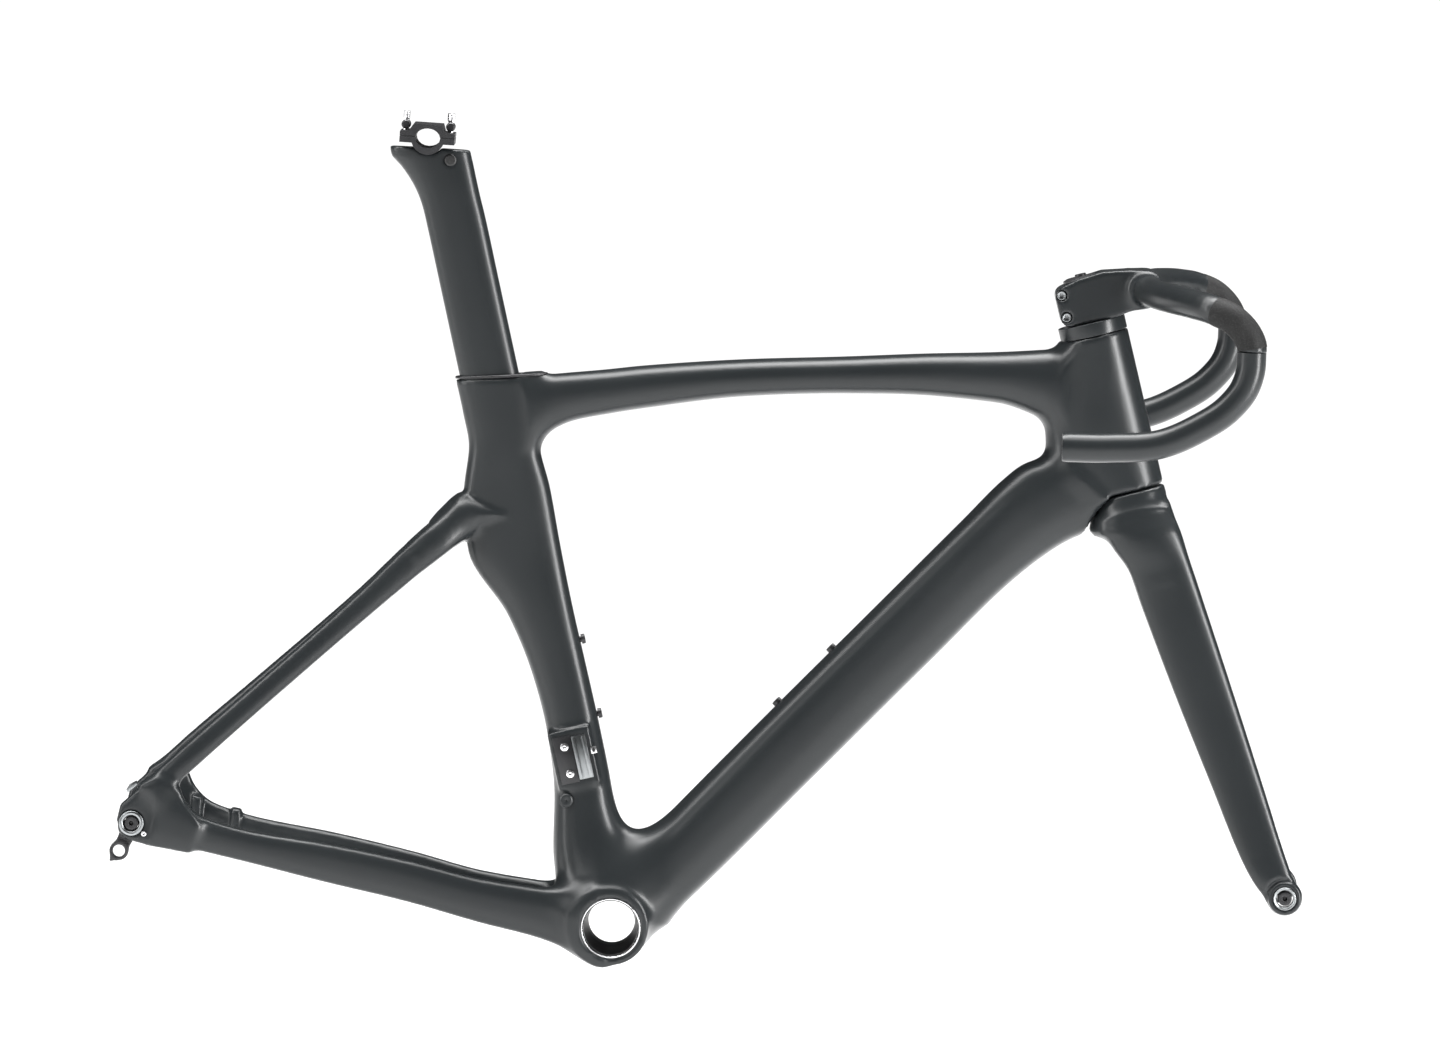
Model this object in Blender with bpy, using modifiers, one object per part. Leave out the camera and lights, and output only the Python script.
"""Aero road bicycle frameset: frame, fork, headset, seatpost with saddle clamp, and one-piece cockpit.

Row frame: origin at the centre of the bottom bracket shell, +X forward, +Y to the rider's left,
+Z up, with both wheel axles level. All drawing sizes below are millimetres.
"""

import math

import bmesh
import bpy
from mathutils import Matrix, Vector

MM = 0.001
GAP = 0.3

# ---- driving dimensions of the frameset, in millimetres and degrees
CHAIN_STAY = 410.0
BB_DROP = 65.0
WHEELBASE = 966.0
HEAD_ANGLE = math.radians(73.0)
FORK_RAKE = 48.0
AXLE_TO_CROWN = 359.0
HEAD_LENGTH = 133.7
SEAT_LEAN = math.radians(16.0)
BB_WIDTH = 86.5
BB_RADIUS = 32.0
BB_BORE = 25.3
REAR_SPACING = 142.0
FRONT_SPACING = 100.0
AXLE_RADIUS = 6.0
FRAME_WALL = 1.6
BEARING_OUTER = 26.0
BEARING_INNER = 20.0
BEARING_HEIGHT = 7.0
STEERER_RADIUS = 14.3
NOSE = 28.5
COVER_HEIGHT = 11.0
STEM_BASE = HEAD_LENGTH + COVER_HEIGHT + 2 * GAP
STEM_HEIGHT = 38.0
BAR_RADIUS = 12.1
BAR_HALF_WIDTH = 210.0
WHEEL_RADIUS = 346.0
POST_CHORD = 47.4
POST_WIDTH = 26.0

# ---- points that follow from them, as (x, z)
REAR_AXLE = (-math.sqrt(CHAIN_STAY ** 2 - BB_DROP ** 2), BB_DROP)
FRONT_AXLE = (REAR_AXLE[0] + WHEELBASE, BB_DROP)
STEER_UP = (-math.cos(HEAD_ANGLE), math.sin(HEAD_ANGLE))
STEER_AHEAD = (math.sin(HEAD_ANGLE), math.cos(HEAD_ANGLE))
CROWN = (
    FRONT_AXLE[0] - FORK_RAKE * STEER_AHEAD[0] + AXLE_TO_CROWN * STEER_UP[0],
    FRONT_AXLE[1] - FORK_RAKE * STEER_AHEAD[1] + AXLE_TO_CROWN * STEER_UP[1],
)

# ---- paint, metal and plastic finishes: colour, roughness, metallic
FINISHES = {
    "paint": ((0.055, 0.062, 0.065, 1.0), 0.42, 0.35),
    "alloy": ((0.62, 0.63, 0.64, 1.0), 0.3, 1.0),
    "steel": ((0.75, 0.75, 0.76, 1.0), 0.22, 1.0),
    "black_alloy": ((0.02, 0.02, 0.022, 1.0), 0.4, 0.8),
    "black_plastic": ((0.015, 0.015, 0.016, 1.0), 0.55, 0.0),
}


def clear_scene():
    for item in list(bpy.data.objects):
        bpy.data.objects.remove(item)


def steer(height, ahead=0.0):
    """Point (x, z) at a height above the crown along the steering axis and a distance ahead of it."""
    return (
        CROWN[0] + height * STEER_UP[0] + ahead * STEER_AHEAD[0],
        CROWN[1] + height * STEER_UP[1] + ahead * STEER_AHEAD[1],
    )


def seat_line(x, z, along):
    """Point (x, z) moved up a line that leans back by the seat angle."""
    return (x - along * math.sin(SEAT_LEAN), z + along * math.cos(SEAT_LEAN))


def metres(x, y, z):
    return Vector((x, y, z)) * MM


# ---------------------------------------------------------------- objects, finishes and parents

def finish_object(item, finish):
    colour, roughness, metallic = FINISHES[finish]
    material = bpy.data.materials.new(item.name + "_finish")
    material.use_nodes = True
    shader = material.node_tree.nodes["Principled BSDF"]
    shader.inputs["Base Color"].default_value = colour
    shader.inputs["Roughness"].default_value = roughness
    shader.inputs["Metallic"].default_value = metallic
    material.diffuse_color = colour
    item.data.materials.clear()
    item.data.materials.append(material)
    return item


def add_object(name, mesh, finish=None):
    """Links a mesh as a named part, or as a hidden cutter where it has no finish."""
    item = bpy.data.objects.new(name, mesh)
    if finish:
        PARTS.objects.link(item)
        finish_object(item, finish)
    else:
        CUTTERS.objects.link(item)
        item.hide_render = True
        item.display_type = "WIRE"
    return item


def pivot(name, x, y, z, parent=None):
    """Empty that stands on a joint's axis and carries the pieces that move on it."""
    empty = bpy.data.objects.new(name, None)
    PARTS.objects.link(empty)
    empty.location = metres(x, y, z)
    empty.empty_display_size = 0.02
    bpy.context.view_layer.update()
    if parent:
        attach(empty, parent)
    return empty


def attach(item, parent):
    bpy.context.view_layer.update()
    item.parent = parent
    item.matrix_parent_inverse = parent.matrix_world.inverted()


def smooth(mesh, angle=35.0):
    mesh.shade_smooth()
    mesh.set_sharp_from_angle(angle=math.radians(angle))


# ---------------------------------------------------------------- lofts between rings

def oval_ring(low, high, width, y=0.0, power=2.3, count=16, grow=0.0):
    """Ring between two edge points (x, z), oval across Y; grow swells it."""
    middle = Vector(((low[0] + high[0]) / 2, y, (low[1] + high[1]) / 2))
    reach = Vector((high[0] - low[0], 0.0, high[1] - low[1])) / 2
    reach += reach.normalized() * grow
    side = Vector((0.0, width / 2 + grow, 0.0))
    ring = []
    for step in range(count):
        angle = 2 * math.pi * step / count
        across = math.copysign(abs(math.cos(angle)) ** (2 / power), math.cos(angle))
        sideways = math.copysign(abs(math.sin(angle)) ** (2 / power), math.sin(angle))
        ring.append((middle + reach * across + side * sideways) * MM)
    return ring


def loft_mesh(name, rings, open_start=False, open_end=False):
    """Skin over a list of equal rings, with its ends closed or left open."""
    shape = bmesh.new()
    grid = [[shape.verts.new(point) for point in ring] for ring in rings]
    count = len(rings[0])
    for lower, upper in zip(grid, grid[1:]):
        for step in range(count):
            after = (step + 1) % count
            shape.faces.new((lower[step], lower[after], upper[after], upper[step]))
    caps = [shape.faces.new(grid[0][::-1]), shape.faces.new(grid[-1])]
    bmesh.ops.recalc_face_normals(shape, faces=shape.faces)
    unwanted = [cap for cap, is_open in zip(caps, (open_start, open_end)) if is_open]
    bmesh.ops.delete(shape, geom=unwanted, context="FACES_ONLY")
    mesh = bpy.data.meshes.new(name)
    shape.to_mesh(mesh)
    shape.free()
    smooth(mesh)
    return mesh


def stations_rings(stations, grow=0.0, count=16):
    return [oval_ring(*station, count=count, grow=grow) for station in stations]


def tube(name, stations, wall=FRAME_WALL, closed_end=False, count=16):
    """Hollow carbon tube: an open skin through oval stations, thickened inwards."""
    mesh = loft_mesh(name, stations_rings(stations, count=count), True, not closed_end)
    item = add_object(name, mesh, "paint")
    shell = item.modifiers.new("wall", "SOLIDIFY")
    shell.thickness = wall * MM
    shell.offset = -1.0
    shell.use_even_offset = True
    return item


def envelope(name, stations, grow=GAP, count=16):
    """Hidden solid that fills a tube and stands the working gap proud of it."""
    return add_object(name + "_envelope", loft_mesh(name, stations_rings(stations, grow, count)))


def sweep_rings(path, radius, start=None, end=None, count=12):
    """Round rings square to a path of (x, y, z) points; start and end fix the end rings' directions."""
    points = [Vector(point) for point in path]
    rings = []
    heading = points[1] - points[0]
    across = Vector((0.0, 0.0, 1.0)) if abs(heading.y) > abs(heading.z) else Vector((0.0, 1.0, 0.0))
    for index, point in enumerate(points):
        before = points[max(index - 1, 0)]
        after = points[min(index + 1, len(points) - 1)]
        along = (after - before).normalized()
        if start and index == 0:
            along = Vector(start).normalized()
        if end and index == len(points) - 1:
            along = Vector(end).normalized()
        across = (across - along * across.dot(along)).normalized()
        up = along.cross(across)
        ring = []
        for step in range(count):
            angle = 2 * math.pi * step / count
            ring.append((point + (across * math.cos(angle) + up * math.sin(angle)) * radius) * MM)
        rings.append(ring)
    return rings


# ---------------------------------------------------------------- turned pieces and plates

def turned(name, profile, place, axis, finish=None, segments=32, ring=False):
    """Profile of (radius, height) points turned about an axis; a ring's profile closes on itself."""
    mesh = bpy.data.meshes.new(name)
    shape = bmesh.new()
    points = [shape.verts.new((radius * MM, 0.0, height * MM)) for radius, height in profile]
    for start, end in zip(points, points[1:]):
        shape.edges.new((start, end))
    if ring:
        shape.edges.new((points[-1], points[0]))
    shape.to_mesh(mesh)
    shape.free()
    item = add_object(name, mesh, finish)
    spin = item.modifiers.new("turn", "SCREW")
    spin.axis = "Z"
    spin.angle = 2 * math.pi
    spin.steps = segments
    spin.render_steps = segments
    spin.use_merge_vertices = True
    spin.merge_threshold = 0.00001
    spin.use_smooth_shade = True
    item.location = metres(*place)
    item.rotation_euler = Vector(axis).to_track_quat("Z", "Y").to_euler()
    return item


def bush(name, outer, inner, low, high, place, axis, finish=None, segments=32):
    profile = [(outer, high), (outer, low), (inner, low), (inner, high)]
    return turned(name, profile, place, axis, finish, segments, ring=True)


def rod(name, radius, start, end, place, axis, finish=None, segments=32):
    low, high = min(start, end), max(start, end)
    profile = [(0.0, high), (radius, high), (radius, low), (0.0, low)]
    return turned(name, profile, place, axis, finish, segments)


def socket_bolt(name, head, shank, place, axis, finish, segments=12):
    """Bolt whose head, (radius, height), has a drive socket and whose shank is (radius, length)."""
    head_radius, head_height = head
    shank_radius, length = shank
    socket = head_radius * 0.5
    profile = [
        (0.0, head_height * 0.4), (socket, head_height * 0.4), (socket, head_height),
        (head_radius, head_height), (head_radius, 0.0), (shank_radius, 0.0),
        (shank_radius, -length), (0.0, -length),
    ]
    return turned(name, profile, place, axis, finish, segments)


def arc(centre, radius, start, end, count):
    """Points of an arc in the side view, angles in degrees from +X towards +Z."""
    points = []
    for step in range(count + 1):
        angle = math.radians(start + (end - start) * step / count)
        points.append((centre[0] + radius * math.cos(angle), centre[1] + radius * math.sin(angle)))
    return points


def plate(name, outline, y_low, y_high, finish=None, grow=0.0):
    """Flat plate with a side-view outline of (x, z) points, standing between two Y planes."""
    outline = grown_outline(outline, grow)
    curve = bpy.data.curves.new(name, "CURVE")
    curve.dimensions = "2D"
    curve.fill_mode = "BOTH"
    curve.extrude = ((y_high - y_low) / 2 + grow) * MM
    spline = curve.splines.new("POLY")
    spline.points.add(len(outline) - 1)
    spline.use_cyclic_u = True
    for point, (x, z) in zip(spline.points, outline):
        point.co = (x * MM, z * MM, 0.0, 1.0)
    sketch = bpy.data.objects.new(name + "_sketch", curve)
    CUTTERS.objects.link(sketch)
    sketch.rotation_euler = (math.pi / 2, 0.0, 0.0)
    sketch.location = metres(0.0, (y_low + y_high) / 2, 0.0)
    bpy.context.view_layer.update()
    evaluated = sketch.evaluated_get(bpy.context.evaluated_depsgraph_get())
    mesh = bpy.data.meshes.new_from_object(evaluated)
    shape = bmesh.new()
    shape.from_mesh(mesh)
    bmesh.ops.remove_doubles(shape, verts=shape.verts, dist=0.00001)
    shape.to_mesh(mesh)
    shape.free()
    item = add_object(name, mesh, finish)
    item.matrix_world = sketch.matrix_world.copy()
    bpy.data.objects.remove(sketch)
    return item


def grown_outline(outline, grow):
    """Outline pushed outwards by a distance."""
    if not grow:
        return outline
    area = sum(a[0] * b[1] - b[0] * a[1] for a, b in zip(outline, outline[1:] + outline[:1]))
    turn = 1.0 if area > 0 else -1.0
    grown = []
    for before, here, after in zip(outline[-1:] + outline[:-1], outline, outline[1:] + outline[:1]):
        into = (Vector(here) - Vector(before)).normalized()
        away = (Vector(after) - Vector(here)).normalized()
        normal = Vector((into.y + away.y, -into.x - away.x)).normalized() * turn
        facing = Vector((into.y, -into.x)) * turn
        step = grow / max(normal.dot(facing), 0.3)
        grown.append((here[0] + normal.x * step, here[1] + normal.y * step))
    return grown


def cut(item, cutter, operation="DIFFERENCE", solver="EXACT"):
    boolean = item.modifiers.new(cutter.name, "BOOLEAN")
    boolean.operation = operation
    boolean.solver = solver
    boolean.object = cutter
    return item


def steer_place(height, ahead=0.0):
    x, z = steer(height, ahead)
    return (x, 0.0, z)


STEER_AXIS = (STEER_UP[0], 0.0, STEER_UP[1])
SIDES = {"right": -1.0, "left": 1.0}

# ---------------------------------------------------------------- stations of the carbon tubes
# Each station is (rear or lower point, front or upper point, width across Y, place along Y).

DOWN_SLOPE = math.radians(48.8)
DOWN_HALF = 32.3


def down_line(along, off):
    """Point (x, z) on the down tube's line, which passes through the bottom bracket centre."""
    return (
        along * math.cos(DOWN_SLOPE) - off * math.sin(DOWN_SLOPE),
        along * math.sin(DOWN_SLOPE) + off * math.cos(DOWN_SLOPE),
    )


HEAD_STATIONS = [
    (steer(0.0, -42.0), steer(0.0, NOSE), 58.0),
    (steer(25.0, -58.0), steer(25.0, NOSE), 57.0),
    (steer(50.0, -61.0), steer(50.0, NOSE), 56.0),
    (steer(75.0, -55.0), steer(75.0, NOSE), 56.0),
    (steer(105.0, -40.0), steer(105.0, NOSE), 57.0),
    (steer(HEAD_LENGTH, -29.0), steer(HEAD_LENGTH, NOSE), 58.0),
]
TOP_STATIONS = [
    ((-88.0, 406.0), (-98.0, 451.0), 30.0),
    ((-62.0, 427.0), (-72.0, 459.5), 33.0),
    ((0.0, 436.0), (-4.0, 470.5), 37.0),
    ((83.0, 451.0), (80.0, 482.0), 38.0),
    ((166.0, 459.0), (164.0, 490.0), 38.0),
    ((233.0, 462.0), (231.0, 497.0), 40.0),
    ((292.0, 460.0), (293.0, 502.5), 46.0),
    ((352.0, 440.0), (352.0, 510.0), 50.0),
]
DOWN_STATIONS = [
    (down_line(14.0, -31.5), down_line(14.0, 31.5), 62.0),
    (down_line(70.0, -DOWN_HALF), down_line(70.0, DOWN_HALF), 58.0),
    (down_line(200.0, -DOWN_HALF), down_line(200.0, DOWN_HALF), 51.0),
    (down_line(350.0, -DOWN_HALF), down_line(350.0, DOWN_HALF), 49.0),
    (down_line(450.0, -33.5), down_line(450.0, DOWN_HALF), 51.0),
    (down_line(498.0, -41.5), down_line(498.0, DOWN_HALF), 54.0),
    (down_line(520.0, -50.0), down_line(520.0, 29.0), 54.0),
    (down_line(544.0, -58.0), down_line(544.0, 16.0), 54.0),
]
SEAT_STATIONS = [
    ((-160.8, 448.8), (-92.5, 456.0), 32.0),
    ((-152.8, 421.0), (-90.0, 428.0), 32.0),
    ((-146.0, 391.0), (-86.8, 398.0), 32.0),
    ((-148.0, 357.0), (-76.0, 364.0), 30.0),
    ((-141.0, 306.0), (-64.0, 316.0), 31.0),
    ((-104.0, 254.0), (-50.0, 264.0), 32.0),
    ((-80.0, 205.0), (-35.0, 214.0), 34.0),
    ((-64.0, 155.0), (-20.0, 163.0), 38.0),
    ((-54.0, 105.0), (-6.0, 114.0), 46.0),
    ((-53.0, 60.0), (8.0, 72.0), 56.0),
    ((-40.0, 12.0), (28.0, 26.0), 62.0),
]
CHAIN_STATIONS = [
    ((-12.0, -31.0), (-22.0, 24.0), 22.0, 31.0),
    ((-60.0, -12.0), (-60.0, 26.0), 20.0, 30.0),
    ((-110.0, -2.0), (-110.0, 29.5), 17.0, 35.0),
    ((-173.0, 12.0), (-173.0, 42.0), 16.0, 43.0),
    ((-241.0, 24.0), (-241.0, 53.0), 16.0, 52.0),
    ((-307.0, 36.0), (-307.0, 61.0), 15.0, 62.0),
    ((-350.0, 43.5), (-350.0, 73.0), 14.0, 70.0),
    ((-385.0, 51.0), (-380.0, 86.0), 12.0, 77.0),
]
STAY_STATIONS = [
    ((-171.0, 293.5), (-189.0, 311.5), 13.0, 26.0),
    ((-217.0, 250.0), (-232.0, 264.5), 13.0, 34.5),
    ((-300.0, 169.0), (-314.0, 182.5), 13.0, 54.0),
    ((-355.0, 114.0), (-369.5, 128.0), 13.0, 69.0),
    ((-380.0, 88.0), (-396.0, 100.0), 12.0, 77.0),
]
YOKE_STATIONS = [
    ((-120.0, 330.0), (-128.0, 364.0), 26.0),
    ((-151.0, 312.0), (-160.0, 347.0), 44.0),
    ((-170.6, 293.9), (-188.6, 311.9), 66.0),
]
BLADE_STATIONS = [
    (steer(-62.3, -17.0), steer(-62.3, 34.5), 18.0, 31.5),
    (steer(-100.0, -12.5), steer(-100.0, 38.0), 18.0, 33.5),
    (steer(-180.0, -1.8), steer(-180.0, 45.0), 16.0, 39.5),
    (steer(-260.0, 10.5), steer(-260.0, 51.5), 14.5, 46.5),
    (steer(-320.0, 20.0), steer(-320.0, 56.0), 13.5, 53.0),
    (steer(-350.0, 30.0), steer(-350.0, 58.0), 12.0, 56.5),
]
CROWN_STATIONS = [
    (steer(-GAP, -NOSE), steer(-GAP, NOSE), 57.0),
    (steer(-14.0, -36.0), steer(-14.0, 29.5), 66.0),
    (steer(-27.0, -42.5), steer(-27.0, 31.0), 74.0),
    (steer(-35.0, -31.0), steer(-35.0, 31.5), 77.0),
    (steer(-47.0, -23.5), steer(-47.0, 33.0), 79.5),
    (steer(-62.0, -17.0), steer(-62.0, 34.5), 81.0),
]
POST_REAR = (-158.0, 453.0)
POST_INSERTION = 126.0


def post_station(along):
    rear = seat_line(*POST_REAR, along)
    front = (rear[0] + POST_CHORD * math.cos(SEAT_LEAN), rear[1] + POST_CHORD * math.sin(SEAT_LEAN))
    return (rear, front, POST_WIDTH)


POST_STATIONS = [post_station(along) for along in (-POST_INSERTION, 0.0, 70.0, 135.0)] + [
    ((-202.0, 601.0), (-151.0, 610.0), POST_WIDTH),
    ((-211.0, 617.0), (-154.5, 622.0), POST_WIDTH),
    ((-226.0, 631.0), (-159.0, 634.0), POST_WIDTH),
    ((-227.0, 641.0), (-161.0, 641.0), POST_WIDTH),
]
DROPOUT_OUTLINE = [
    (-358.0, 72.0), (-366.0, 94.0), (-385.0, 101.0), (-400.0, 95.0), (-415.0, 80.0),
    (-417.5, 67.0), (-415.5, 57.0), (-409.0, 51.0), (-398.0, 48.5), (-366.0, 46.5),
]
HANGER_HOLE = (-414.2, 40.2)
BRAKE_PADS = [((-357.0, 0.0, 69.5), 52.5, 68.0), ((-323.5, 0.0, 60.5), 56.5, 73.0)]
BRAKE_PAD_RADIUS = 8.0
BAR_PATH = [
    (413.0, 0.0, 564.0), (413.5, -45.0, 564.0), (418.0, -95.0, 564.0), (430.0, -145.0, 563.5),
    (447.0, -182.0, 562.0), (463.0, -203.0, 559.0), (478.0, -BAR_HALF_WIDTH, 553.0),
    (490.5, -BAR_HALF_WIDTH, 541.0), (494.6, -BAR_HALF_WIDTH, 533.0), (494.98, -BAR_HALF_WIDTH, 527.6),
]
BAR_FALL = (0.03, 0.0, -1.0)
BAR_RISE = (-0.03, 0.0, 1.0)
DROP_PATH = [
    (495.0, -BAR_HALF_WIDTH, 527.1), (495.0, -BAR_HALF_WIDTH, 512.0), (491.0, -BAR_HALF_WIDTH, 497.0),
    (478.8, -BAR_HALF_WIDTH, 479.6), (455.0, -BAR_HALF_WIDTH, 461.5), (427.5, -BAR_HALF_WIDTH, 447.5),
    (383.5, -BAR_HALF_WIDTH, 441.0), (345.0, -BAR_HALF_WIDTH, 439.0),
]


def mirrored(stations, side):
    return [(low, high, width, y * side) for low, high, width, y in stations]


# ---------------------------------------------------------------- the frame

def build_cutters():
    """Hidden spaces that several tubes share: neighbours grown by the gap, wheels and the crown."""
    spaces = {
        "head": envelope("head", HEAD_STATIONS),
        "down": envelope("down", DOWN_STATIONS),
        "seat": envelope("seat", SEAT_STATIONS),
        "shell": rod("shell_space", BB_RADIUS + GAP, -60.0, 60.0, (0, 0, 0), (0, 1, 0)),
        "crown": turned(
            "crown_space", [(0.0, 0.0), (30.8, 0.0), (47.0, -28.0), (53.0, -70.0), (0.0, -70.0)],
            steer_place(0.0), STEER_AXIS, segments=40,
        ),
    }
    for name, axle, half in (("rear_wheel", REAR_AXLE, 17.0), ("front_wheel", FRONT_AXLE, 22.0)):
        rim = [(0.0, half), (WHEEL_RADIUS - half, half)]
        rim += [
            (WHEEL_RADIUS - half + half * math.cos(angle), half * math.sin(angle))
            for angle in (math.radians(60), math.radians(30), 0.0, math.radians(-30), math.radians(-60))
        ]
        rim += [(WHEEL_RADIUS - half, -half), (0.0, -half)]
        place = (axle[0], 0.0, axle[1])
        spaces[name] = turned(name + "_space", rim, place, (0, 1, 0), segments=72)
    return spaces


def build_head_tube():
    head = add_object("head_tube", loft_mesh("head_tube", stations_rings(HEAD_STATIONS)), "paint")
    bore = turned(
        "head_bore",
        [
            (0.0, 150.0), (BEARING_OUTER + GAP, 150.0), (BEARING_OUTER + GAP, 125.2),
            (23.5, 122.0), (23.5, 13.0), (BEARING_OUTER + GAP, 9.8), (BEARING_OUTER + GAP, -10.0),
            (0.0, -10.0),
        ],
        steer_place(0.0), STEER_AXIS, segments=40,
    )
    return cut(head, bore)


def build_main_tubes(spaces):
    top = tube("top_tube", TOP_STATIONS)
    cut(top, spaces["head"])
    cut(top, spaces["seat"])
    cut(top, spaces["clamp_cover"])
    down = tube("down_tube", DOWN_STATIONS)
    cut(down, spaces["head"])
    cut(down, spaces["crown"])
    cut(down, spaces["shell"])
    seat = tube("seat_tube", SEAT_STATIONS, wall=1.5)
    cut(seat, spaces["down"])
    cut(seat, spaces["shell"])
    return top, down, seat


def build_bottom_bracket():
    shell = bush(
        "bottom_bracket_shell", BB_RADIUS, BB_BORE, -BB_WIDTH / 2 + GAP, BB_WIDTH / 2 - GAP,
        (0, 0, 0), (0, 1, 0), "paint", 32,
    )
    half = BB_WIDTH / 2
    sleeve = turned(
        "bottom_bracket_sleeve",
        [
            (BB_BORE - GAP, half), (BB_BORE - GAP, -half), (21.5, -half), (20.5, -half + 1.0),
            (20.5, half - 1.0), (21.5, half),
        ],
        (0, 0, 0), (0, 1, 0), "alloy", 32, ring=True,
    )
    return shell, sleeve


def build_rear_triangle(spaces):
    yoke_mesh = loft_mesh("seat_stay_yoke", stations_rings(YOKE_STATIONS))
    yoke = add_object("seat_stay_yoke", yoke_mesh, "paint")
    cut(yoke, spaces["seat"])
    cut(yoke, spaces["rear_wheel"])
    dropouts = {}
    for name, side in SIDES.items():
        inner = REAR_SPACING / 2
        outer = inner + 12.0
        near = inner + 4.3 if name == "right" else inner
        span = sorted((near * side, outer * side))
        dropout = plate("dropout_" + name, DROPOUT_OUTLINE, span[0], span[1], "paint")
        hole_radius = 9.4 if name == "right" else AXLE_RADIUS + GAP
        place = (REAR_AXLE[0], 0.0, REAR_AXLE[1])
        hole = rod("dropout_hole_" + name, hole_radius, 60.0 * side, 100.0 * side, place, (0, 1, 0))
        cut(dropout, hole)
        space = plate("dropout_space_" + name, DROPOUT_OUTLINE, span[0] - 8, span[1] + 8, grow=GAP)
        chain_stay = tube("chain_stay_" + name, mirrored(CHAIN_STATIONS, side), count=14)
        cut(chain_stay, spaces["shell"])
        cut(chain_stay, spaces["seat"])
        cut(chain_stay, space)
        if name == "left":
            for spot, inner_face, outer_face in BRAKE_PADS:
                pad = rod("brake_pad", BRAKE_PAD_RADIUS, inner_face, outer_face, spot, (0, 1, 0))
                cut(chain_stay, pad, "UNION")
        seat_stay = tube("seat_stay_" + name, mirrored(STAY_STATIONS, side), wall=1.4, count=12)
        cut(seat_stay, space)
        dropouts[name] = dropout
    return dropouts


def build_hanger(dropout):
    """Replaceable rear derailleur hanger: a plate inside the right dropout with a boss through it."""
    outline = arc(REAR_AXLE, 11.5, -75.0, 205.0, 12) + arc(HANGER_HOLE, 8.2, 165.0, 215.0, 3)
    outline += [(HANGER_HOLE[0] - 7.5, HANGER_HOLE[1] - 9.5)] + arc(HANGER_HOLE, 8.2, 265.0, 370.0, 6)
    inner = REAR_SPACING / 2
    hanger = plate("derailleur_hanger", outline, -inner - 4.0, -inner, "black_alloy")
    axle_place = (REAR_AXLE[0], 0.0, REAR_AXLE[1])
    boss = rod("hanger_boss", 9.1, -inner - 13.2, -inner - 2.0, axle_place, (0, 1, 0), segments=20)
    cut(hanger, boss, "UNION")
    axle_hole = rod("hanger_axle_hole", AXLE_RADIUS + 0.2, -100.0, -60.0, axle_place, (0, 1, 0), segments=16)
    cut(hanger, axle_hole)
    hole_place = (HANGER_HOLE[0], 0.0, HANGER_HOLE[1])
    cut(hanger, rod("hanger_eye", 5.0, -100.0, -60.0, hole_place, (0, 1, 0), segments=16))
    screw_place = (REAR_AXLE[0] + 11.0, -inner - 12.3, REAR_AXLE[1] - 8.0)
    cut(dropout, rod("hanger_screw_hole", 1.6, -2.0, 2.0, screw_place, (0, -1, 0), segments=12))
    socket_bolt("hanger_screw", (2.5, 1.6), (1.3, 1.5), screw_place, (0, -1, 0), "steel")
    stop_place = (-402.0, -inner - 6.0, 104.0)
    bush("rear_cable_stop", 3.2, 1.4, -4.0, 4.0, stop_place, (0.72, 0.0, 0.69), "black_alloy", 12)


def build_front_derailleur_mount(spaces, seat_tube):
    """Black plate, ribbed bracket, two bolts and a cable port plug on the right of the seat tube."""
    lean = Matrix.Rotation(-SEAT_LEAN, 2)
    corner = Vector((-46.5, 137.0))

    def leaned(points):
        return [tuple(corner + lean.inverted() @ Vector(point)) for point in points]

    face = -22.6
    holes = [(-49.0, 148.0), (-42.5, 126.0)]
    base = plate(
        "front_derailleur_plate", leaned([(-8, -20), (7, -20), (7, 20), (-8, 20)]), face - 2.0, face,
        "black_alloy",
    )
    profile = [(7.5, -18.5), (20.0, -18.5), (20.0, 18.5), (7.5, 18.5)]
    bracket = plate("front_derailleur_bracket", leaned(profile), face - 8.0, face, "alloy")
    slot_points = [(11.0, -25.0), (15.5, -25.0), (15.5, 25.0), (11.0, 25.0)]
    cut(bracket, plate("bracket_slot", leaned(slot_points), face - 12.0, face - 3.0))
    for index, (x, z) in enumerate(holes):
        name = "front_derailleur_bolt_" + ("upper", "lower")[index]
        hole = rod(name + "_hole", 2.6, 10.0, 40.0, (x, 0.0, z), (0, -1, 0), segments=12)
        cut(base, hole)
        cut(seat_tube, hole)
        place = (x, face - 2.3, z)
        socket_bolt(name, (3.6, 2.4), (2.2, 6.0), place, (0, -1, 0), "steel")
    port = (-44.5, 0.0, 103.0)
    cut(seat_tube, rod("port_hole", 4.3, 10.0, 40.0, port, (0, -1, 0), segments=16))
    turned(
        "cable_port_plug",
        [(0.0, 25.6), (4.5, 25.6), (5.9, 24.4), (5.9, 23.6), (3.9, 23.6), (3.9, 19.0), (0.0, 19.0)],
        port, (0, -1, 0), "black_plastic", 20,
    )


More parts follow.
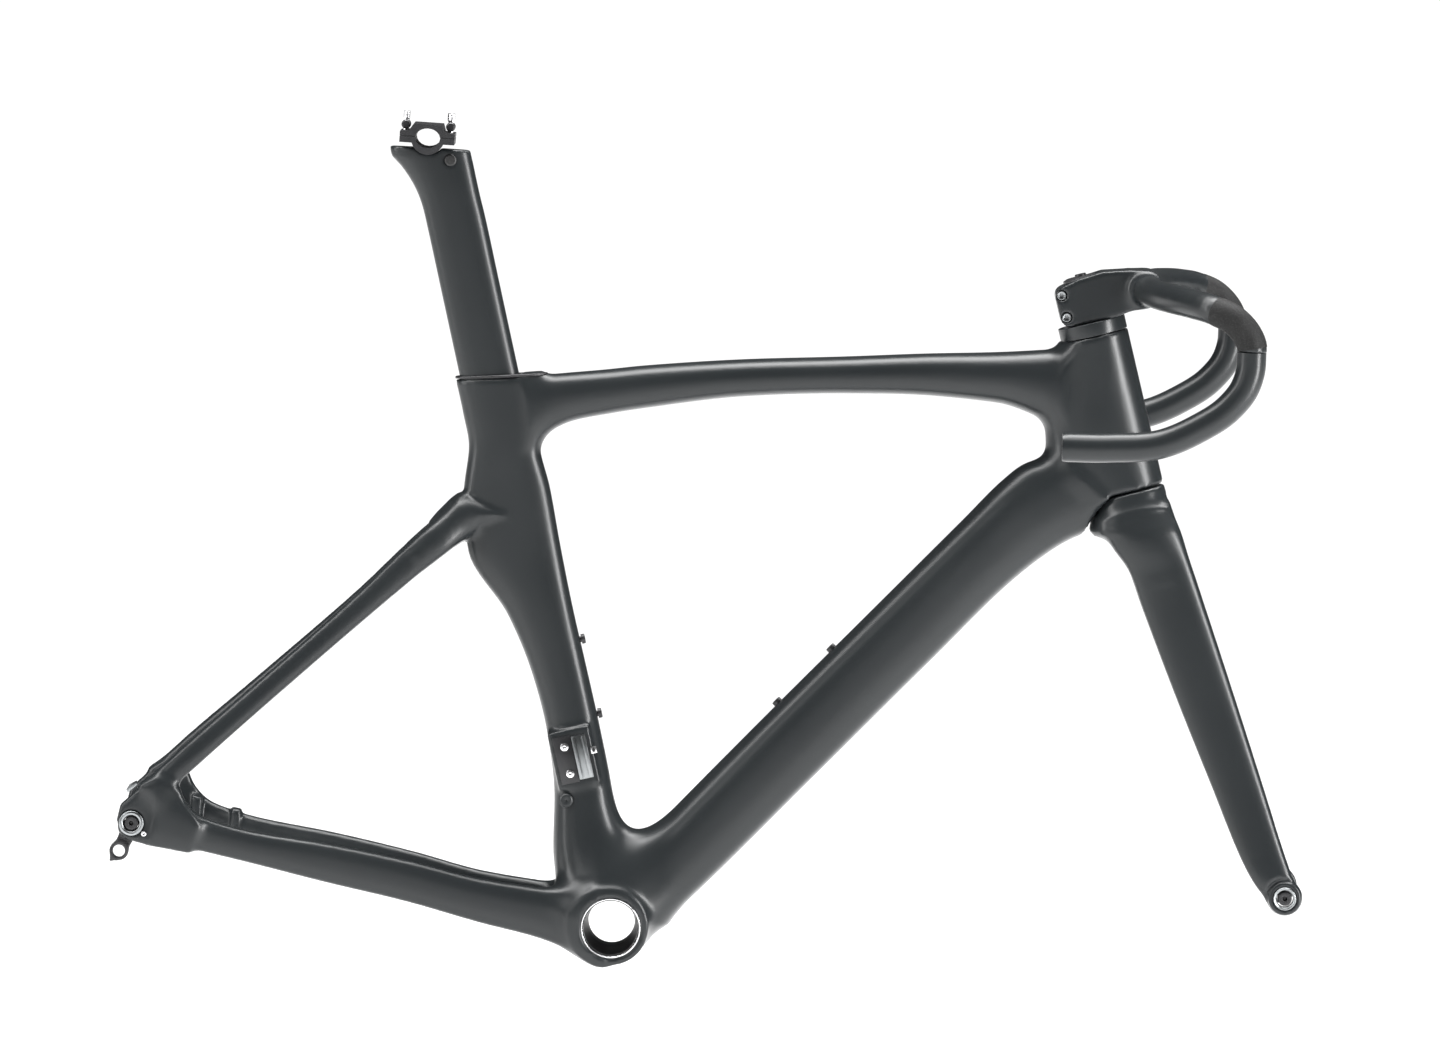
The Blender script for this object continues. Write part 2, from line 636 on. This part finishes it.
def build_bottle_bolts(down_tube, seat_tube):
    """Two bottle cage bolts on each of the down tube and the seat tube, 64 mm apart."""
    down_normal = (-math.sin(DOWN_SLOPE), 0.0, math.cos(DOWN_SLOPE))
    seat_normal = (math.cos(SEAT_LEAN), 0.0, math.sin(SEAT_LEAN))
    seats = [
        ("down_upper", down_tube, down_line(295.0, DOWN_HALF + GAP), down_normal),
        ("down_lower", down_tube, down_line(231.0, DOWN_HALF + GAP), down_normal),
        ("seat_upper", seat_tube, (-41.0, 237.6), seat_normal),
        ("seat_lower", seat_tube, (-22.8, 176.1), seat_normal),
    ]
    for name, carrier, (x, z), normal in seats:
        hole = rod("bottle_hole_" + name, 2.9, -14.0, 14.0, (x, 0.0, z), normal, segments=12)
        cut(carrier, hole)
        name = "bottle_bolt_" + name
        socket_bolt(name, (4.2, 3.4), (2.5, 10.0), (x, 0.0, z), normal, "black_alloy")


def build_seat_clamp():
    """Cover, wedge and bolt that grip the seatpost in the top of the seat tube."""
    low = [(-161.2, 449.4), (-84.0, 457.6)]
    high = [(-161.2, 451.4), (-84.0, 459.8)]
    stations = [(low[0], low[1], 32.5), (high[0], high[1], 32.5)]
    cover_mesh = loft_mesh("seat_clamp_cover", stations_rings(stations))
    cover = add_object("seat_clamp_cover", cover_mesh, "black_alloy")
    post_space = envelope("post", [post_station(-60.0), post_station(60.0)])
    cut(cover, post_space)
    bolt_spot = (-102.2, 0.0, 451.0)
    along = (-math.sin(SEAT_LEAN), 0.0, math.cos(SEAT_LEAN))
    cut(cover, rod("clamp_bolt_access", 3.9, -4.0, 14.0, bolt_spot, along, segments=16))
    wedge_stations = [((-100.6, 430.0), (-95.0, 431.2), 12.0), ((-106.4, 450.4), (-97.8, 451.8), 12.0)]
    wedge_mesh = loft_mesh("seat_clamp_wedge", stations_rings(wedge_stations))
    wedge = add_object("seat_clamp_wedge", wedge_mesh, "alloy")
    cut(wedge, rod("wedge_hole", 2.3, -40.0, 10.0, bolt_spot, along, segments=12))
    place = (bolt_spot[0] - 0.3, 0.0, bolt_spot[2] + 1.2)
    socket_bolt("seat_clamp_bolt", (3.4, 3.6), (2.0, 16.0), place, along, "steel")
    return envelope("clamp_cover", stations)


# ---------------------------------------------------------------- headset bearings

def bearing(name, height, cage_parent):
    """Cartridge bearing: grooved outer and inner rings, and a cage of balls between them."""
    place = steer_place(height)
    middle = BEARING_HEIGHT / 2
    outer_face = 23.9
    inner_face = 22.1
    groove = 0.9
    outer = [
        (BEARING_OUTER, BEARING_HEIGHT), (BEARING_OUTER, 0.0), (outer_face, 0.0),
        (outer_face, middle - 1.9), (outer_face + groove, middle - 1.0),
        (outer_face + groove, middle + 1.0), (outer_face, middle + 1.9), (outer_face, BEARING_HEIGHT),
    ]
    inner = [
        (inner_face, BEARING_HEIGHT), (inner_face, middle + 1.9), (inner_face - groove, middle + 1.0),
        (inner_face - groove, middle - 1.0), (inner_face, middle - 1.9), (inner_face, 0.0),
        (BEARING_INNER, 0.0), (BEARING_INNER, BEARING_HEIGHT),
    ]
    turned(name + "_bearing_outer", outer, place, STEER_AXIS, "steel", 24, ring=True)
    inner_ring = turned(name + "_bearing_inner", inner, place, STEER_AXIS, "steel", 24, ring=True)
    pitch = (outer_face + inner_face) / 2
    cage = bush(name + "_ball_cage", pitch + 0.5, pitch - 0.5, 2.2, 4.8, place, STEER_AXIS, "steel", 24)
    balls = bmesh.new()
    count = 12
    for index in range(count):
        angle = 2 * math.pi * (index + 0.5) / count
        spot = Vector((pitch * math.cos(angle), pitch * math.sin(angle), middle)) * MM
        bmesh.ops.create_icosphere(balls, subdivisions=1, radius=1.45 * MM, matrix=Matrix.Translation(spot))
    mesh = bpy.data.meshes.new(name + "_balls")
    balls.to_mesh(mesh)
    balls.free()
    ball_set = add_object(name + "_balls", mesh)
    ball_set.location = cage.location
    ball_set.rotation_euler = cage.rotation_euler
    cut(cage, ball_set, "UNION")
    empty = pivot(name + "_cage_pivot", *place, parent=cage_parent)
    attach(cage, empty)
    return inner_ring


# ---------------------------------------------------------------- fork and cockpit

def build_fork(spaces):
    crown = add_object("fork_crown", loft_mesh("fork_crown", stations_rings(CROWN_STATIONS)), "paint")
    neck = turned(
        "crown_neck", [(0.0, 9.0), (BEARING_INNER - GAP, 9.0), (BEARING_INNER - GAP, 1.2), (22.0, 1.2),
                       (22.0, -6.0), (0.0, -6.0)],
        steer_place(0.0), STEER_AXIS, segments=32,
    )
    cut(crown, neck, "UNION")
    cut(crown, rod("steerer_socket", STEERER_RADIUS + GAP, -12.0, 30.0, steer_place(0.0), STEER_AXIS))
    cut(crown, spaces["front_wheel"])
    pieces = [crown]
    pieces.append(
        bush("steerer_tube", STEERER_RADIUS, 11.5, -11.5, STEM_BASE + STEM_HEIGHT - 5.0,
             steer_place(0.0), STEER_AXIS, "paint", 28)
    )
    axle_place = (FRONT_AXLE[0], 0.0, FRONT_AXLE[1])
    inner = FRONT_SPACING / 2
    for name, side in SIDES.items():
        blade = tube("fork_blade_" + name, mirrored(BLADE_STATIONS, side), 1.8, closed_end=True, count=14)
        outer = (inner + 13.5) * side
        boss = rod("blade_boss_" + name, 14.0, inner * side, outer, axle_place, (0, 1, 0), segments=28)
        cut(blade, boss, "UNION")
        hole_radius = 9.4 if name == "right" else AXLE_RADIUS + GAP
        cut(blade, rod("blade_hole_" + name, hole_radius, 40.0 * side, 80.0 * side, axle_place, (0, 1, 0)))
        pieces.append(blade)
    pieces.append(
        bush("fork_axle_insert", 9.1, AXLE_RADIUS + 0.2, -inner - 13.9, -inner, axle_place, (0, 1, 0),
             "steel", 24)
    )
    return pieces


def build_headset_top():
    place = steer_place(0.0)
    ring = turned(
        "compression_ring",
        [(BEARING_INNER - GAP, 132.8), (BEARING_INNER - GAP, 128.0), (17.0, 125.8),
         (STEERER_RADIUS + GAP, 125.8), (STEERER_RADIUS + GAP, 132.8)],
        place, STEER_AXIS, "alloy", 28, ring=True,
    )
    base = HEAD_LENGTH + GAP
    top = base + COVER_HEIGHT
    cover = turned(
        "headset_cover",
        [(NOSE - 1.2, top), (NOSE, top - 1.0), (NOSE, base), (STEERER_RADIUS + GAP, base),
         (STEERER_RADIUS + GAP, top)],
        place, STEER_AXIS, "black_plastic", 32, ring=True,
    )
    return [ring, cover]


def stem_station(ahead, low, high, width):
    return (steer(low, ahead), steer(high, ahead), width)


def build_cockpit():
    """Stem that clamps the steerer, one-piece bar top, two drops, top cap, plug and bolts."""
    base = STEM_BASE
    stations = [
        stem_station(-24.5, base + 3.0, base + 31.0, 28.0),
        stem_station(-19.0, base, base + 34.5, 44.0),
        stem_station(0.0, base, base + 37.5, 49.0),
        stem_station(18.0, base, base + 39.5, 47.0),
        stem_station(35.0, base + 2.5, base + 35.0, 42.0),
        stem_station(56.0, base + 5.5, base + 27.0, 40.0),
    ]
    rings = [oval_ring(*station, power=3.2, count=16) for station in stations]
    stem = add_object("stem", loft_mesh("stem", rings), "paint")
    place = steer_place(0.0)
    path = [(x, -y, z) for x, y, z in BAR_PATH[:0:-1]] + BAR_PATH
    bar_rings = sweep_rings(path, BAR_RADIUS, BAR_RISE, BAR_FALL)
    bar = add_object("handlebar_top", loft_mesh("handlebar_top", bar_rings, True, True), "paint")
    wall = bar.modifiers.new("wall", "SOLIDIFY")
    wall.thickness = 2.0 * MM
    wall.offset = -1.0
    cut(stem, rod("bar_space", BAR_RADIUS + 0.8, -40.0, 40.0, BAR_PATH[0], (0, 1, 0), segments=24))
    cap_seat = base + STEM_HEIGHT - 2.5
    bore = [
        (0.0, base + 60.0), (16.0, base + 60.0), (16.0, cap_seat), (STEERER_RADIUS + GAP, cap_seat),
        (STEERER_RADIUS + GAP, base - 10.0), (0.0, base - 10.0),
    ]
    cut(stem, turned("stem_bore", bore, place, STEER_AXIS, segments=32))
    slit_outline = [steer(base - 10, -40), steer(base + 60, -40), steer(base + 60, -8), steer(base - 10, -8)]
    cut(stem, plate("stem_slit", slit_outline, -1.5, 1.5), solver="MANIFOLD")
    pieces = [stem, bar]
    for name, height in (("upper", base + 28.0), ("lower", base + 9.0)):
        spot = steer_place(height, -19.4)
        cut(stem, rod("pinch_counterbore_" + name, 4.5, 14.5, 40.0, spot, (0, -1, 0), segments=16))
        cut(stem, rod("pinch_hole_" + name, 2.8, -16.0, 20.0, spot, (0, -1, 0), segments=12))
        bolt_place = (spot[0], -14.8, spot[2])
        pieces.append(
            socket_bolt("pinch_bolt_" + name, (4.1, 4.6), (2.5, 30.0), bolt_place, (0, -1, 0), "steel")
        )
    for name, side in SIDES.items():
        points = [(x, -y * side, z) for x, y, z in DROP_PATH]
        rings = sweep_rings(points, BAR_RADIUS, BAR_FALL)
        drop = add_object("handlebar_drop_" + name, loft_mesh("drop_" + name, rings, True, True), "paint")
        wall = drop.modifiers.new("wall", "SOLIDIFY")
        wall.thickness = 2.0 * MM
        wall.offset = -1.0
        pieces.append(drop)
    plug = bush("expander_plug", 11.2, 3.4, base, base + 32.0, place, STEER_AXIS, "alloy", 24)
    cap = turned(
        "top_cap",
        [(3.4, cap_seat + 3.6), (12.0, cap_seat + 3.6), (15.4, cap_seat + 2.2), (15.4, cap_seat + GAP),
         (3.4, cap_seat + GAP)],
        place, STEER_AXIS, "black_alloy", 28, ring=True,
    )
    bolt_place = steer_place(cap_seat + 3.9)
    bolt = socket_bolt("top_cap_bolt", (5.0, 2.2), (2.9, 34.0), bolt_place, STEER_AXIS, "black_alloy")
    return pieces + [plug, cap, bolt]


# ---------------------------------------------------------------- seatpost and saddle clamp

CLAMP_CENTRE = (-197.0, 650.0)
RAIL_SPACING = 44.0
RAIL_RADIUS = 3.6


def clamp_point(x, z):
    return (CLAMP_CENTRE[0] + x, CLAMP_CENTRE[1] + z)


def oval_arc(half_x, half_z, start, end, count):
    points = []
    for step in range(count + 1):
        angle = math.radians(start + (end - start) * step / count)
        points.append(clamp_point(half_x * math.cos(angle), half_z * math.sin(angle)))
    return points


def build_seatpost():
    post = tube("seatpost", POST_STATIONS, 2.2, closed_end=True)
    trough = rod("cradle_trough", 14.3, -40.0, 40.0, (CLAMP_CENTRE[0], 0.0, CLAMP_CENTRE[1]), (0, 1, 0))
    core_stations = POST_STATIONS[-3:]
    core = envelope("post_head_core", core_stations, grow=-1.0)
    cut(post, core, "UNION")
    cut(post, trough)
    spot = (-177.0, 0.0, 632.5)
    cut(post, rod("plug_hole", 3.7, 9.0, 30.0, spot, (0, -1, 0), segments=16))
    plug = turned(
        "post_side_plug",
        [(0.0, 14.4), (4.0, 14.4), (5.0, 13.9), (5.0, 13.3), (3.4, 13.3), (3.4, 9.4), (0.0, 9.4)],
        spot, (0, -1, 0), "black_plastic", 18,
    )
    return [post, plug]


def build_saddle_clamp():
    """Lower cradle that rocks in the post head, upper clamp, two barrels and two bolts."""
    half = 27.0
    split = 0.9
    lower = [clamp_point(-23.5, -4.5), clamp_point(-23.5, split - 0.2), clamp_point(-10.4, split - 0.2)]
    lower += oval_arc(10.4, 8.2, 180.0, 360.0, 10)
    lower += [clamp_point(10.4, split - 0.2), clamp_point(22.5, split - 0.2), clamp_point(22.5, -4.5)]
    lower += oval_arc(13.9, 13.9, -19.0, -161.0, 10)
    upper = [clamp_point(-23.5, split + 0.2), clamp_point(-23.5, 4.8), clamp_point(-16.2, 5.5)]
    upper += [clamp_point(-12.3, 11.6), clamp_point(11.8, 11.6), clamp_point(13.7, 5.5)]
    upper += [clamp_point(22.5, 4.8), clamp_point(22.5, split + 0.2), clamp_point(10.3, split + 0.2)]
    upper += oval_arc(10.4, 8.2, 8.0, 172.0, 10) + [clamp_point(-10.3, split + 0.2)]
    cradle = plate("lower_cradle", lower, -half, half, "black_alloy")
    clamp = plate("upper_rail_clamp", upper, -half, half, "black_alloy")
    pieces = [cradle, clamp]
    for name, side in SIDES.items():
        place = (CLAMP_CENTRE[0], side * RAIL_SPACING / 2, CLAMP_CENTRE[1] + split)
        rail = rod("rail_space_" + name, RAIL_RADIUS, -40.0, 40.0, place, (1, 0, 0), segments=14)
        cut(cradle, rail)
        cut(clamp, rail)
    for name, ahead in (("rear", -19.2), ("front", 18.2)):
        x, z = clamp_point(ahead, 0.0)
        hole = rod("clamp_hole_" + name, 2.8, -20.0, 30.0, (x, 0.0, z), (0, 0, 1), segments=12)
        cut(cradle, hole)
        cut(clamp, hole)
        barrel = rod("clamp_barrel_" + name, 3.9, -9.0, 9.0, (x, 0.0, z + 9.9), (0, 1, 0), "black_alloy", 16)
        cut(barrel, hole)
        bolt = socket_bolt(
            "clamp_bolt_" + name, (3.4, 7.0), (2.4, 18.5), (x, 0.0, z + 14.4), (0, 0, 1), "steel", 14
        )
        pieces += [barrel, bolt]
    return pieces


def build_thru_axle(name, place, tip, head_at):
    """Through axle pulled out to the left: shaft, and a head with a drive socket."""
    return turned(
        name,
        [(0.0, head_at + 2.5), (3.0, head_at + 2.5), (3.0, head_at + 7.0), (8.0, head_at + 7.0),
         (9.2, head_at + 5.8), (9.2, head_at), (AXLE_RADIUS - 0.1, head_at),
         (AXLE_RADIUS - 0.1, tip), (2.2, tip), (2.2, tip + 6.0), (0.0, tip + 6.0)],
        place, (0, 1, 0), "black_alloy", 18,
    )


def build():
    spaces = build_cutters()
    spaces["clamp_cover"] = build_seat_clamp()
    build_head_tube()
    top, down, seat = build_main_tubes(spaces)
    build_bottom_bracket()
    dropouts = build_rear_triangle(spaces)
    build_hanger(dropouts["right"])
    build_front_derailleur_mount(spaces, seat)
    build_bottle_bolts(down, seat)

    steering = pivot("steering_pivot", *steer_place(0.0))
    moving = build_fork(spaces) + build_headset_top() + build_cockpit()
    moving.append(bearing("lower", 1.5, steering))
    moving.append(bearing("upper", 125.5, steering))
    for piece in moving:
        attach(piece, steering)

    post_slide = pivot("seatpost_slide_pivot", POST_REAR[0], 0.0, POST_REAR[1])
    for piece in build_seatpost():
        attach(piece, post_slide)
    rocker = pivot("saddle_clamp_pivot", CLAMP_CENTRE[0], 0.0, CLAMP_CENTRE[1], post_slide)
    for piece in build_saddle_clamp():
        attach(piece, rocker)

    rear_place = (REAR_AXLE[0], 0.0, REAR_AXLE[1])
    front_place = (FRONT_AXLE[0], 0.0, FRONT_AXLE[1])
    half = REAR_SPACING / 2
    rear = build_thru_axle("rear_thru_axle", rear_place, -half - 12.6, half + 12.3)
    attach(rear, pivot("rear_axle_pivot", *rear_place))
    half = FRONT_SPACING / 2
    front = build_thru_axle("front_thru_axle", front_place, -half - 13.0, half + 13.8)
    attach(front, pivot("front_axle_pivot", *front_place, parent=steering))


clear_scene()
PARTS = bpy.data.collections.new("road_frameset")
CUTTERS = bpy.data.collections.new("cutters")
bpy.context.scene.collection.children.link(PARTS)
bpy.context.scene.collection.children.link(CUTTERS)
build()
